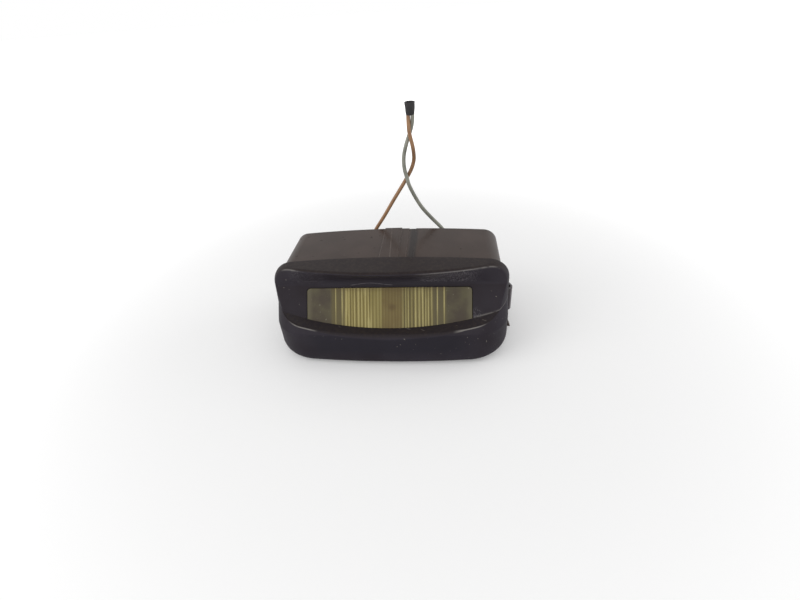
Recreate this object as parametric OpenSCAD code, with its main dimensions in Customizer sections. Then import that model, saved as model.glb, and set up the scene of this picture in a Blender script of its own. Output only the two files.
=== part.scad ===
// Snap-in number plate lamp: hooded cover, leaning ribbed lens, box housing, festoon bulb and two stiff wires.
// X runs along the lamp, Y from the hood to the back, Z up. The lamp lies on its long side at Z = 0.

/* [Cover] */
// Length of the cover along X
cover_w = 90; // [84:0.5:100]
// Height of the cover at the middle of its crowned top
cover_h = 36; // [34.5:0.5:38]
// Wall of the cover
cover_wall = 2; // [1.6:0.1:2.4]
// How far the chin stands in front of the panel seat
chin_depth = 20; // [19:0.5:22]
// How far the brow stands in front of the panel seat
brow_depth = 11.6; // [11:0.1:13]
// How far the ends of the chin lie behind its middle
chin_bow = 3; // [2:0.1:4]
// How far the ends of the brow lie behind its middle
brow_bow = 9.4; // [8:0.1:10]
// How far the ends of the top lie below its middle
top_crown = 1.9; // [1:0.1:2.2]
// Corner radius of the cover seen from the front, at the chin
chin_corner_r = 5.5; // [4.5:0.5:8]
// Corner radius of the cover seen from the front, at the brow
brow_corner_r = 7.5; // [6.5:0.5:8]
// Corner radius of the front seen from above, at the chin
chin_plan_r = 12.5; // [9:0.5:13]
// Corner radius of the front seen from above, at the brow
brow_plan_r = 12; // [8:0.5:13]
// Edge radius under the chin
chin_edge_r = 3.5; // [2.4:0.1:5]
// Edge radius along the brow
brow_edge_r = 1; // [0.5:0.1:1.5]

/* [Scoop] */
// Lean of the window plane back from upright, in degrees
window_lean = 35; // [31:0.5:39]
// How far the middle of the lip stands in front of the panel seat
lip_depth = 14.5; // [13.5:0.1:15.5]
// Height of the middle of the lip
lip_z = 14; // [13:0.1:14.5]
// Radius of the arc along which the lip rises towards its ends
lip_arc_r = 166; // [150:1:240]
// Radius of the flatter arc at the front edge of the ledge below the lip
ledge_arc_r = 245; // [220:5:400]
// Fillet between the window plane and the ceiling under the brow
scoop_fillet_r = 2.5; // [1.5:0.1:3.2]
// Flat frame between the window and that fillet
frame_above = 0.6; // [0.3:0.1:1.2]

/* [Window and lens] */
// Width of the window
window_w = 62.6; // [58:0.2:66]
// Height from the top edge of the window to the top of the cover
over_window = 9.55; // [9.2:0.05:11]
// Corner radius of the window
window_corner_r = 1.6; // [1:0.1:2.5]
// How far the window and the lens run down behind the lip
lip_overlap = 2.2; // [1.8:0.1:3]
// Gap round the lens in its window, and in front of it behind the lip
lens_gap = 0.25; // [0.15:0.05:0.4]
// Thickness of the lens face
lens_face = 1.8; // [1.4:0.1:2.4]
// Width of the flange round the lens
lens_flange = 2.4; // [1.8:0.1:2.8]
// Thickness of that flange
lens_flange_t = 1.4; // [1:0.1:1.8]
// Pitch of the upright flutes behind the lens face
flute_pitch = 1.2; // [1:0.05:1.4]
// Number of flutes
flute_count = 36; // [20:2:40]
// Height of a flute
flute_h = 0.4; // [0.2:0.05:0.5]
// Thickness of the foam seal between the lens flange and the cover
seal_t = 0.8; // [0.5:0.1:1.2]
// Width of that seal
seal_w = 1.8; // [1.4:0.1:2.2]

/* [Housing] */
// Length of the housing
housing_w = 85.4; // [83:0.2:86]
// Depth of the housing behind the panel seat
housing_d = 25.6; // [24:0.2:28]
// Overhang of the cover past the housing, above and below
housing_inset = 1; // [0.8:0.1:1.2]
// Wall of the housing
housing_wall = 2.4; // [2.2:0.1:2.8]
// Corner radius of the housing at the top
housing_top_r = 6; // [5:0.5:7]
// Corner radius of the housing at the bottom
housing_low_r = 8; // [7.5:0.5:9.5]
// How far the housing plugs into the cover
spigot_d = 2.4; // [2.2:0.1:2.6]
// Gap round that spigot
spigot_gap = 0.3; // [0.2:0.05:0.4]
// How far the snap noses stand out from the ends of the spigot
nose_h = 0.8; // [0.6:0.1:1]
// Thickness of the snap noses
nose_t = 1.2; // [0.8:0.1:1.2]
// Length of the snap noses
nose_l = 10; // [8:0.5:12]
// Width of the raised band across the top
band_w = 7; // [5:0.5:9]
// Height of that band
band_h = 0.35; // [0.2:0.05:0.5]
// Distance of the groove in the top from the middle
groove_x = 8; // [6.5:0.1:10]
// Width of that groove
groove_w = 2.8; // [1.6:0.1:3]
// Depth of that groove
groove_d = 0.3; // [0.2:0.05:0.6]

/* [Terminal chamber] */
// Length of the chamber along the bottom of the back
chamber_w = 70; // [64:1:72]
// Height of its top above the rest plane
chamber_z = 16.5; // [16:0.5:18]
// Depth of the chamber with its lid
chamber_d = 7; // [6.5:0.1:8]
// Wall of the chamber
chamber_wall = 1.6; // [1.4:0.1:1.8]
// Thickness of the lid
lid_t = 1.4; // [1:0.1:1.6]
// How far the lid plugs into the chamber
lid_plug = 1.2; // [1:0.1:2]
// Gap round that plug
lid_gap = 0.15; // [0.1:0.05:0.25]
// Height of the pad above the chamber
pad_h = 8.5; // [6:0.5:10]
// Thickness of that pad
pad_d = 2; // [1.5:0.1:2.2]
// Length of that pad
pad_w = 60; // [54:1:66]

/* [Bulb] */
// Length of the bulb over its contact nubs
bulb_l = 36; // [35:0.5:38]
// Diameter of the glass
bulb_d = 10.5; // [9.5:0.1:11]
// Wall of the glass
bulb_wall = 0.7; // [0.5:0.1:0.9]
// Diameter of the end caps
cap_d = 8.5; // [8:0.1:9]
// Length of a cap over its cylinder
cap_l = 5; // [4:0.1:6]
// Diameter of the contact nubs
nub_d = 2.8; // [2.4:0.1:3]
// Length of a nub
nub_l = 1.8; // [1.5:0.1:2.2]
// Distance of the bulb's axis behind the panel seat
bulb_y = 4; // [3:0.5:5]
// Height of the bulb's axis
bulb_z = 13; // [12.5:0.1:13.5]

/* [Contacts] */
// Width of the contact springs
contact_w = 9; // [8.5:0.1:9.5]
// Thickness of the contact springs
contact_t = 0.5; // [0.4:0.05:0.6]
// Length of their feet along the back wall
contact_foot = 10; // [9:0.5:12]
// Gap round a nub in its contact
nub_gap = 0.1; // [0.05:0.05:0.2]
// Height of the rivets
rivet_z = 10; // [9.5:0.1:10.5]
// Shank diameter of the rivets
rivet_d = 3; // [2.6:0.1:3.2]
// Gap round the rivets in contact, wall and terminal
rivet_gap = 0.1; // [0.05:0.05:0.15]
// Head diameter of the rivets
rivet_head = 5; // [4.4:0.1:5.4]
// Height of the rivet heads
rivet_head_t = 0.8; // [0.6:0.1:1]
// Thickness of the terminals
terminal_t = 0.8; // [0.6:0.1:1]
// Diameter of the ring of a terminal
terminal_d = 6.4; // [6:0.1:6.8]
// Height of the flat link between the ring and the barrel
link_h = 2.2; // [1.8:0.1:2.4]
// Width of the tang that carries the barrel
tang_w = 1.2; // [1:0.1:1.4]
// Height of that tang
tang_h = 1.6; // [1.2:0.1:1.8]
// Wall of the crimp barrel
barrel_wall = 0.4; // [0.3:0.05:0.5]

/* [Reflector] */
// Length of the trough
reflector_w = 30; // [26:0.5:31]
// Inner radius of the trough
reflector_r = 8.4; // [7.6:0.1:8.6]
// Thickness of its sheet
reflector_t = 0.5; // [0.4:0.05:0.6]
// Angle that the trough covers, in degrees
reflector_span = 150; // [120:2:160]
// Thickness of the two cradle ribs that carry it
cradle_t = 2; // [1.5:0.1:3]
// Distance of the cradle ribs from the middle
cradle_x = 10; // [7:0.5:12]

/* [Side springs] */
// How far the springs reach out past the housing
spring_reach = 4.5; // [4:0.1:5.5]
// Thickness of the spring strip
spring_t = 0.7; // [0.5:0.05:0.9]
// Width of the spring strip
spring_w = 10; // [9:0.5:12]
// Height of the middle of the strip
spring_z = 15.2; // [14.5:0.1:18]
// Gap between the panel seat and the catching edges of springs and horns
panel_gap = 1.5; // [1:0.1:2.5]
// Length of the strip behind the panel seat
spring_l = 20; // [18:0.5:21]
// Reach of the locating horns past the housing
horn_reach = 4.7; // [4:0.1:5.5]
// Thickness of the horns
horn_t = 2.2; // [1.6:0.1:3]
// Height of the horns
horn_z = 5.2; // [5:0.1:8]
// How deep the roots of the horns lie in the ends of the housing
horn_root = 3; // [2:0.1:4]

/* [Wires] */
// Diameter of the wires over their insulation
wire_d = 1.5; // [1.3:0.1:1.6]
// Bore of a wire seal, larger than the wire by this much
wire_gap = 0.2; // [0.1:0.05:0.3]
// Diameter of the seals in the top of the chamber
grommet_d = 3; // [2.8:0.1:3.2]
// Diameter of the flange of a seal
grommet_flange = 4.2; // [3.8:0.1:4.4]
// Height of a seal above the chamber
grommet_h = 4; // [3:0.5:5]

/* [Hidden] */

window_h = (cover_h - lip_z - over_window) / cos(window_lean);
back_y = housing_d + chamber_d;
seat_y = (chin_depth - back_y) / 2;
housing_low = housing_inset;
housing_top = cover_h - housing_inset;
inner_back = housing_d - housing_wall;
fit_eps = 0.01;
black = [0.17, 0.16, 0.17];
housing_colour = [0.33, 0.29, 0.27];
lens_colour = [0.68, 0.63, 0.38, 0.7];
rubber_colour = [0.1, 0.1, 0.1];
tin = [0.72, 0.72, 0.7];
bronze = [0.72, 0.55, 0.3];

// Route points of the wires, from the terminals up through their seals to the end sleeve
wire_y = seat_y + housing_d + 3.2;
brown_x = -12.8;
grey_x = 22.6;
wire_low = 13.5;
sleeve_x = 9;
sleeve_low = 78.2;
sleeve_h = 5.4;
brown_route = [
    for (p = [[brown_x, 0, wire_low], [brown_x, 0, 17.5], [brown_x, 0, 21], [-12.2, 0, 24.9], [-10.7, 0, 28.9],
              [-8.2, 0, 33.3], [-4.1, 0, 39.3], [-1.6, 0, 43.2], [0.6, 0.2, 46.6], [4.6, 0.8, 52.5],
              [6.5, 0.9, 55.5], [8.4, 0.8, 58.9], [9.5, 0.3, 62.4], [9.6, -0.2, 65.4], [9.3, -0.6, 68.3],
              [8.7, -0.9, 71.3], [8.3, -0.9, 73.8], [8.2, -0.3, 76.2], [8.2, 0, sleeve_low]])
    p + [0, wire_y, 0]];
grey_route = [
    for (p = [[grey_x, 0, wire_low], [grey_x, 0, 17.5], [grey_x, 0, 21], [22.5, 0, 24.7], [21.9, 0, 28.7],
              [20.3, 0, 32.7], [16, 0, 37.7], [12.1, -0.1, 42.6], [9.4, -0.5, 47.6], [7.3, -0.9, 52.6],
              [6.6, -0.9, 55.5], [5.8, -0.7, 59], [5.6, -0.3, 62.4], [6, 0.1, 65.4], [7, 0.6, 68.8],
              [8.3, 0.9, 72.2], [9.3, 0.7, 75.2], [9.8, 0, sleeve_low]])
    p + [0, wire_y, 0]];

// Half width of the cover at height z, for a skin lying t inside its surface
function half_width(z, t) =
    let (low_r = chin_corner_r - t, top_r = brow_corner_r - t, up = z - t, down = cover_h - t - z)
    cover_w / 2 - t
    - (up < low_r ? low_r - sqrt(max(0, low_r ^ 2 - (low_r - up) ^ 2)) : 0)
    - (down < top_r ? top_r - sqrt(max(0, top_r ^ 2 - (top_r - down) ^ 2)) : 0);

// Depth of the front at the middle of the cover, upright at the chin and then leaning back to the brow
function front_depth(z, t) =
    let (low_r = max(chin_edge_r - t, 0.4), top_r = max(brow_edge_r - t, 0.2), up = z - t,
         down = cover_h - t - z)
    (z < lip_z ? chin_depth : chin_depth + (brow_depth - chin_depth) * (z - lip_z) / (cover_h - lip_z)) - t
    - (up < low_r ? low_r - sqrt(max(0, low_r ^ 2 - (low_r - up) ^ 2)) : 0)
    - (down < top_r ? top_r - sqrt(max(0, top_r ^ 2 - (top_r - down) ^ 2)) : 0);

function bow(x, z) =
    let (share = max(0, min(1, (z - lip_z) / (cover_h - lip_z))))
    (chin_bow + (brow_bow - chin_bow) * share) * (x / (cover_w / 2)) ^ 2;
function crown(x, z) = top_crown * (x / (cover_w / 2)) ^ 2 * (z / cover_h) ^ 2;

// Points along the front at one height, from right to left: corner arc, bowed middle, corner arc
function front_line(z, t, y_back) =
    let (w = half_width(z, t), f = front_depth(z, t), share = z / cover_h,
         wanted = chin_plan_r + (brow_plan_r - chin_plan_r) * share - t, r = min(wanted, f - bow(w, z) - 0.4),
         arc = [for (a = [0 : 15 : 90]) [w - r + r * cos(a), r * (1 - sin(a))]],
         middle = [for (k = [3 : -1 : -3]) [(w - r) * k / 4, 0]],
         half = concat(arc, middle, [for (k = [6 : -1 : 0]) [-arc[k][0], arc[k][1]]]))
    [for (p = half) [p[0], -f + bow(p[0], z) + p[1], z - crown(p[0], z)]];

function levels(t) =
    let (low_r = chin_corner_r - t, top_r = brow_corner_r - t, turn = cover_h - t - top_r,
         fold = max(lip_z, t + low_r + 0.5))
    concat([for (k = [0 : 7]) t + low_r * (1 - cos(k * 90 / 7))],
           [fold, (fold + turn) / 2],
           [for (k = [0 : 5]) turn + top_r * sin(k * 90 / 5)]);

// Full body of the cover before it is hollowed and scooped: level outlines joined from the chin to the brow
module cover_form(t, y_back) {
    rows = [for (z = levels(t)) let (line = front_line(z, t, y_back))
            concat(line, [for (k = [len(line) - 1 : -1 : 0]) [line[k][0], y_back, line[k][2]]])];
    n = len(rows[0]);
    top = len(rows) - 1;
    half = n / 2;
    sides = [for (i = [0 : top - 1], j = [0 : n - 1]) let (k = (j + 1) % n)
             [i * n + j, i * n + k, (i + 1) * n + k, (i + 1) * n + j]];
    lids = [for (j = [0 : half - 2]) let (a = j, b = j + 1, c = n - 2 - j, d = n - 1 - j)
            each [[a, d, c, b], [top * n + a, top * n + b, top * n + c, top * n + d]]];
    skin = concat(sides, lids);
    polyhedron([for (row = rows) each row],
               [for (f = skin) each [[f[0], f[1], f[2]], [f[0], f[2], f[3]]]], convexity = 6);
}

function arc_rise(x, r) = r - sqrt(r ^ 2 - x ^ 2);

// Side view of the scoop at one x as [y, z], grown by g into the material: its ledge falls from the lip to the
// front edge, its window plane leans back, and its ceiling rises to the bowed brow
function scoop_profile(x, g) =
    let (along = [sin(window_lean), cos(window_lean)], behind = [cos(window_lean), -sin(window_lean)],
         lip = [-lip_depth, lip_z],
         corner = lip + along * arc_rise(x, lip_arc_r) / cos(window_lean),
         rise = arc_rise(x, ledge_arc_r),
         edge = [bow(x, lip_z + rise) - chin_depth + (chin_depth - brow_depth) * rise / (cover_h - lip_z),
                 lip_z + rise],
         inward = unit(corner - edge),
         below = [inward[1], -inward[0]],
         foot = corner + g * (below + behind) / (1 + below * behind),
         crease = [-brow_depth + bow(x, cover_h), cover_h - brow_edge_r - crown(x, cover_h)],
         centre = lip + along * (window_h + frame_above) - behind * scoop_fillet_r,
         reach = crease - centre,
         aim = atan2(reach[1], reach[0]) + asin(scoop_fillet_r / norm(reach)))
    concat([foot],
           [for (k = [0 : 8]) let (a = -window_lean + (aim - 90 + window_lean) * k / 8)
            centre + (scoop_fillet_r + g) * [cos(a), sin(a)]],
           [crease + g * [sin(aim), -cos(aim)] + cover_h * [cos(aim), sin(aim)],
            [foot[0] - 2 * cover_h, 2 * cover_h], foot - 2 * cover_h / inward[0] * inward]);

// The scoop: those side views joined from end to end
module scoop(g) {
    spans = 30;
    half = cover_w / 2 + 1;
    rows = [for (i = [0 : spans]) let (x = half * (2 * i / spans - 1))
            [for (p = scoop_profile(x, g)) [x, p[0], p[1]]]];
    n = len(rows[0]);
    sides = [for (i = [0 : spans - 1], j = [0 : n - 1]) let (k = (j + 1) % n)
             each [[i * n + j, (i + 1) * n + j, (i + 1) * n + k], [i * n + j, (i + 1) * n + k, i * n + k]]];
    lids = [[for (j = [0 : n - 1]) j], [for (j = [n - 1 : -1 : 0]) spans * n + j]];
    polyhedron([for (row = rows) each row], concat(sides, lids), convexity = 6);
}

// Frame of the window: X along the lamp, Y up the slope from the lip, Z out of the lens
module on_window() {
    translate([0, -lip_depth, lip_z]) rotate([90 - window_lean, 0, 0]) children();
}

// Rectangle with true round corners, from the lip's overlap up to the top of the window, grown by g
module window_outline(g) {
    w = window_w / 2 + g;
    low = -lip_overlap - g;
    high = window_h + g;
    r = window_corner_r + max(g, -window_corner_r / 2);
    translate([-w + r, low]) square([2 * (w - r), high - low]);
    translate([-w, low + r]) square([2 * w, high - low - 2 * r]);
    for (x = [-w + r, w - r], v = [low + r, high - r]) translate([x, v]) circle(r = r, $fn = 32);
}

// Section of the housing drawn as [x, z]: flat below, crowned above, with round corners that run out tangent
module crowned_profile(w, low, high, low_r, top_r) {
    half = cover_w / 2;
    crown_r = (half ^ 2 + top_crown ^ 2) / (2 * top_crown);
    corner_x = w / 2 - top_r;
    corner_z = high - crown_r + sqrt((crown_r - top_r) ^ 2 - corner_x ^ 2);
    meet_x = corner_x * crown_r / (crown_r - top_r);
    intersection() {
        union() {
            translate([-w / 2 + low_r, low]) square([w - 2 * low_r, low_r + 1]);
            translate([-w / 2, low + low_r]) square([w, corner_z - low - low_r]);
            translate([-meet_x, low + low_r]) square([2 * meet_x, high - low - low_r]);
            for (s = [-1, 1]) translate([s * (w / 2 - low_r), low + low_r]) circle(r = low_r, $fn = 48);
            for (s = [-1, 1]) translate([s * corner_x, corner_z]) circle(r = top_r, $fn = 48);
        }
        translate([0, high - crown_r]) circle(r = crown_r, $fn = 360);
    }
}

module along_y(y0, y1) {
    translate([0, y1, 0]) rotate([90, 0, 0]) linear_extrude(y1 - y0) children();
}

module snap_noses(grow, out) {
    spigot_end = cover_w / 2 - cover_wall - spigot_gap;
    for (s = [-1, 1]) translate([s * (spigot_end + (out - cover_wall) / 2), -spigot_d / 2, cover_h / 2])
        cube([out + cover_wall, nose_t + 2 * grow, nose_l + 2 * grow], center = true);
}

module cover() {
    color(black) translate([0, seat_y, 0]) difference() {
        cover_form(0, 0);
        scoop(0);
        difference() {
            cover_form(cover_wall, 1);
            scoop(cover_wall);
        }
        on_window() translate([0, 0, -2 * cover_wall]) linear_extrude(2 * cover_wall + lens_gap)
            window_outline(0);
        snap_noses(spigot_gap, nose_h + spigot_gap);
    }
}

// Flutes: upright half-round ridges behind the lens face
module flutes() {
    r = (flute_pitch ^ 2 / 4 + flute_h ^ 2) / (2 * flute_h);
    intersection() {
        translate([-flute_pitch * flute_count / 2, -lip_overlap, -lens_face - flute_h])
            cube([flute_pitch * flute_count, window_h + lip_overlap - lens_face, flute_h + 0.2]);
        for (k = [0 : flute_count - 1])
            translate([(k - (flute_count - 1) / 2) * flute_pitch, window_h / 2, r - lens_face - flute_h])
                rotate([90, 0, 0]) cylinder(r = r, h = 2 * window_h, center = true, $fn = 64);
    }
}

module lens() {
    flange_z = -cover_wall - seal_t;
    color(lens_colour) translate([0, seat_y, 0]) on_window() {
        difference() {
            union() {
                translate([0, 0, flange_z]) linear_extrude(-flange_z) window_outline(-lens_gap);
                translate([0, 0, flange_z - lens_flange_t]) linear_extrude(lens_flange_t)
                    window_outline(lens_flange);
            }
            translate([0, 0, -lens_face - cover_h]) linear_extrude(cover_h)
                window_outline(-lens_gap - lens_face);
        }
        intersection() {
            flutes();
            translate([0, 0, -cover_w / 2]) linear_extrude(cover_w)
                window_outline(-lens_gap - lens_face + fit_eps);
        }
    }
}

module lens_seal() {
    color(rubber_colour) translate([0, seat_y, 0]) on_window() translate([0, 0, -cover_wall - seal_t])
        linear_extrude(seal_t) difference() {
            window_outline(lens_gap + seal_w);
            window_outline(lens_gap);
        }
}

// Room inside the housing
module housing_room() {
    along_y(-spigot_d - 1, inner_back)
        crowned_profile(housing_w - 2 * housing_wall, housing_low + housing_wall, housing_top - housing_wall,
                        housing_low_r - housing_wall, housing_top_r - housing_wall);
}

// Ribs that cradle the reflector on the floor and the back wall
module cradle_ribs() {
    for (x = [-cradle_x, cradle_x]) difference() {
        translate([x - cradle_t / 2, bulb_y, housing_low + housing_wall / 2])
            cube([cradle_t, inner_back + housing_wall / 2 - bulb_y, bulb_z - housing_low - housing_wall / 2]);
        translate([0, bulb_y, bulb_z]) rotate([0, 90, 0])
            cylinder(r = reflector_r + reflector_t, h = cover_w, center = true, $fn = 96);
    }
}

module rivet_places() {
    for (s = [-1, 1]) translate([s * (contact_x + contact_foot / 2), 0, rivet_z])
        rotate([-90, 0, 0]) children();
}

// Inner face of the contact springs, close against the ends of the bulb caps
contact_x = bulb_l / 2 - nub_l + 0.1;

module chamber_box(grow, low, y0, y1) {
    translate([-chamber_w / 2 - grow, y0, low - grow])
        cube([chamber_w + 2 * grow, y1 - y0, chamber_z - low + 2 * grow]);
}

module housing_shell() {
    along_y(0, housing_d) crowned_profile(housing_w, housing_low, housing_top, housing_low_r, housing_top_r);
    difference() {
        along_y(-spigot_d, 0.5)
            crowned_profile(cover_w - 2 * cover_wall - 2 * spigot_gap, cover_wall + spigot_gap,
                            cover_h - cover_wall - spigot_gap, chin_corner_r - cover_wall,
                            brow_corner_r - cover_wall + 0.6);
        on_window() translate([-cover_w, -cover_w, -cover_wall - spigot_gap])
            cube([2 * cover_w, 2 * cover_w, cover_w]);
    }
    snap_noses(0, nose_h);
    translate([-band_w / 2, 0, housing_top - housing_wall]) cube([band_w, housing_d, housing_wall + band_h]);
}

// Small pointed horns at the ends, which locate the lamp in the panel
module horns() {
    out = horn_root + horn_reach;
    for (s = [-1, 1]) translate([s * (housing_w / 2 - horn_root), panel_gap, horn_z]) scale([s, 1, 1])
        rotate([-90, 0, 0]) linear_extrude(horn_t) polygon([[0, -3.5], [out - 1.6, -1], [out, 3.5], [0, 2]]);
}

module housing() {
    color(housing_colour) translate([0, seat_y, 0]) {
        difference() {
            union() {
                housing_shell();
                difference() {
                    chamber_box(0, housing_low, housing_d - 1, back_y - lid_t);
                    chamber_box(-chamber_wall, housing_low, housing_d, back_y);
                }
                difference() {
                    translate([-pad_w / 2, housing_d - 1, chamber_z - 1]) cube([pad_w, pad_d + 1, pad_h + 1]);
                    for (x = [brown_x, grey_x]) translate([x, wire_y - seat_y, chamber_z])
                        cylinder(d = grommet_flange + 1, h = 2 * pad_h, $fn = 48);
                }
                horns();
            }
            housing_room();
            translate([groove_x - groove_w / 2, 0, housing_top - groove_d])
                cube([groove_w, 2 * housing_d, 2 * housing_inset]);
            rivet_places() cylinder(d = rivet_d + 2 * rivet_gap, h = 2 * housing_d, $fn = 48);
            for (x = [brown_x, grey_x]) translate([x, wire_y - seat_y, chamber_z - 3])
                cylinder(d = grommet_d + wire_gap, h = 4, $fn = 48);
            spring_slots();
        }
        intersection() {
            cradle_ribs();
            along_y(-spigot_d, inner_back + 1)
                crowned_profile(housing_w - 2, housing_low + 1, housing_top - 1,
                                housing_low_r - 1, housing_top_r - 1);
        }
    }
}

module terminal_lid() {
    color(housing_colour) translate([0, seat_y, 0]) {
        chamber_box(0, housing_low, back_y - lid_t, back_y);
        difference() {
            chamber_box(-chamber_wall - lid_gap, housing_low, back_y - lid_t - lid_plug, back_y - lid_t / 2);
            translate([2 * chamber_wall - chamber_w / 2, housing_d, 0])
                cube([chamber_w - 4 * chamber_wall, chamber_d - lid_t, chamber_z]);
        }
    }
}

module reflector() {
    facing = -window_lean;
    color(tin) translate([-reflector_w / 2, seat_y + bulb_y, bulb_z]) rotate([90, 0, 90])
        rotate([0, 0, facing - reflector_span / 2]) rotate_extrude(angle = reflector_span, $fn = 120)
            translate([reflector_r, 0]) square([reflector_t, reflector_w]);
}

module on_bulb() {
    translate([0, seat_y + bulb_y, bulb_z]) rotate([0, 90, 0]) children();
}

// Half length of the glass between the caps
glass_half = bulb_l / 2 - nub_l - 0.8 - cap_l;

module bulb_glass() {
    neck = cap_d / 2 - 0.6;
    r = bulb_d / 2;
    color([0.9, 0.92, 0.92, 0.4]) on_bulb() rotate_extrude($fn = 64) difference() {
        polygon([[0, -glass_half], [neck, -glass_half], [r, -glass_half + 2.5],
                 [r, glass_half - 2.5], [neck, glass_half], [0, glass_half]]);
        polygon([[-1, -glass_half + 1], [neck - bulb_wall, -glass_half + 1], [r - bulb_wall, -glass_half + 3],
                 [r - bulb_wall, glass_half - 3], [neck - bulb_wall, glass_half - 1], [-1, glass_half - 1]]);
    }
}

module bulb_cap(s) {
    shoulder = glass_half + cap_l;
    color(tin) on_bulb() scale([1, 1, s]) {
        translate([0, 0, glass_half]) cylinder(d = cap_d, h = cap_l, $fn = 64);
        translate([0, 0, shoulder]) cylinder(d1 = cap_d, d2 = nub_d + 2, h = 0.8, $fn = 64);
        translate([0, 0, shoulder + 0.5]) cylinder(d = nub_d, h = nub_l + 0.3, $fn = 48);
    }
}

module bulb_cap_left() { bulb_cap(-1); }
module bulb_cap_right() { bulb_cap(1); }

module bulb_filament() {
    color("dimgray") on_bulb() cylinder(d = 0.6, h = 2 * (glass_half - 1), center = true, $fn = 24);
}

// Bronze strip: an upright blade with a hole for the nub, and a foot riveted to the back wall
module contact(s) {
    low = rivet_z - contact_w / 2 + 1.5;
    color(bronze) translate([0, seat_y, 0]) scale([s, 1, 1]) difference() {
        union() {
            translate([contact_x, bulb_y - 4, low]) cube([contact_t, inner_back - bulb_y + 4, contact_w]);
            translate([contact_x, inner_back - contact_t, low]) cube([contact_foot, contact_t, contact_w]);
        }
        translate([contact_x - 1, bulb_y, bulb_z]) rotate([0, 90, 0])
            cylinder(d = nub_d + 2 * nub_gap, h = 3, $fn = 48);
        translate([contact_x + contact_foot / 2, inner_back - 3, rivet_z]) rotate([-90, 0, 0])
            cylinder(d = rivet_d + 2 * rivet_gap, h = 6, $fn = 48);
    }
}

module contact_left() { contact(-1); }
module contact_right() { contact(1); }

module contact_rivets() {
    grip = contact_t + housing_wall + terminal_t;
    color(tin) translate([0, seat_y + inner_back - contact_t, 0]) rivet_places() {
        cylinder(d = rivet_d, h = grip, $fn = 48);
        translate([0, 0, -rivet_head_t]) cylinder(d = rivet_head, h = rivet_head_t, $fn = 48);
        translate([0, 0, grip]) cylinder(d = rivet_head, h = rivet_head_t, $fn = 48);
    }
}

// Ring terminal on its rivet behind the wall, with a crimp barrel under the wire
module terminal(ring_x, wire_x) {
    low = rivet_z - rivet_head / 2 - 2 * rivet_gap - tang_h;
    reach = wire_y - seat_y - housing_d;
    color(tin) translate([0, seat_y + housing_d, 0]) {
        difference() {
            union() {
                translate([ring_x, 0, rivet_z]) rotate([-90, 0, 0])
                    cylinder(d = terminal_d, h = terminal_t, $fn = 48);
                translate([min(ring_x, wire_x) - tang_w, 0, low])
                    cube([abs(ring_x - wire_x) + 2 * tang_w, terminal_t, link_h]);
            }
            translate([ring_x, -terminal_t, rivet_z]) rotate([-90, 0, 0])
                cylinder(d = rivet_d + 2 * rivet_gap, h = 3 * terminal_t, $fn = 48);
        }
        translate([wire_x - tang_w / 2, terminal_t / 2, low]) cube([tang_w, reach - terminal_t / 2, tang_h]);
        translate([wire_x, reach, low]) cylinder(d = wire_d + 2 * barrel_wall, h = wire_low - low, $fn = 32);
    }
}

module terminal_left() { terminal(-contact_x - contact_foot / 2, brown_x); }
module terminal_right() { terminal(contact_x + contact_foot / 2, grey_x); }

module grommet(x) {
    color(rubber_colour) translate([x, wire_y, chamber_z]) difference() {
        union() {
            translate([0, 0, -chamber_wall]) cylinder(d = grommet_d, h = chamber_wall + 0.5, $fn = 32);
            cylinder(d = grommet_flange, h = 1, $fn = 32);
            translate([0, 0, 1])
                cylinder(d1 = grommet_d, d2 = wire_d + wire_gap + 0.9, h = grommet_h - 1, $fn = 32);
        }
        translate([0, 0, -2 * chamber_wall]) cylinder(d = wire_d + wire_gap, h = 3 * grommet_h, $fn = 32);
    }
}

module grommet_left() { grommet(brown_x); }
module grommet_right() { grommet(grey_x); }

// Line of the strip spring as [x, y] seen from above: hooked in the side wall, then bulging out to its edge
function spring_line() =
    let (root = housing_w / 2, stand = spring_t / 2 + 0.2, tip = root + spring_reach - spring_t / 2)
    concat([[root - 1.4, spring_l], [root + 0.1, spring_l]],
           route([[root + stand, spring_l - 0.5], [root + stand + 0.1, spring_l - 6],
                  [root + spring_reach * 0.68, panel_gap + 4.9], [tip, panel_gap + 2.3],
                  [tip - 0.6, panel_gap + spring_t / 2 + 0.1], [root + spring_reach * 0.45, panel_gap + 1.2]]));

// Outline of a strip of thickness t along a bent line, mitred at each bend
function strip_outline(line, t) =
    let (last = len(line) - 1,
         side = [for (i = [0 : last]) let (j = max(i, 1), k = min(i, last - 1),
                 a = unit(line[j] - line[j - 1]), b = unit(line[k + 1] - line[k]))
                 t / 2 * [-a[1] - b[1], a[0] + b[0]] / (1 + a * b)])
    concat([for (i = [0 : last]) line[i] + side[i]], [for (i = [last : -1 : 0]) line[i] - side[i]]);

module spring_slots() {
    play = 0.15;
    for (s = [-1, 1]) scale([s, 1, 1])
        translate([housing_w / 2 - 1.6, spring_l - spring_t / 2 - play, spring_z - spring_w / 2 - play])
            cube([2, spring_t + 2 * play, spring_w + 2 * play]);
}

module side_spring(s) {
    color(black) translate([0, seat_y, spring_z - spring_w / 2]) scale([s, 1, 1]) linear_extrude(spring_w)
        polygon(strip_outline(spring_line(), spring_t));
}

module side_spring_left() { side_spring(-1); }
module side_spring_right() { side_spring(1); }

// Tube along hand-chosen points: smoothed route, then rings square to it
function smooth_point(p, i, u) =
    let (a = p[max(i - 1, 0)], b = p[i], c = p[i + 1], d = p[min(i + 2, len(p) - 1)])
    0.5 * (2 * b + (c - a) * u + (2 * a - 5 * b + 4 * c - d) * u ^ 2 + (3 * b - a - 3 * c + d) * u ^ 3);
function route(p) = concat([for (i = [0 : len(p) - 2], u = [0, 0.5]) smooth_point(p, i, u)], [p[len(p) - 1]]);
function unit(v) = v / norm(v);

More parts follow.
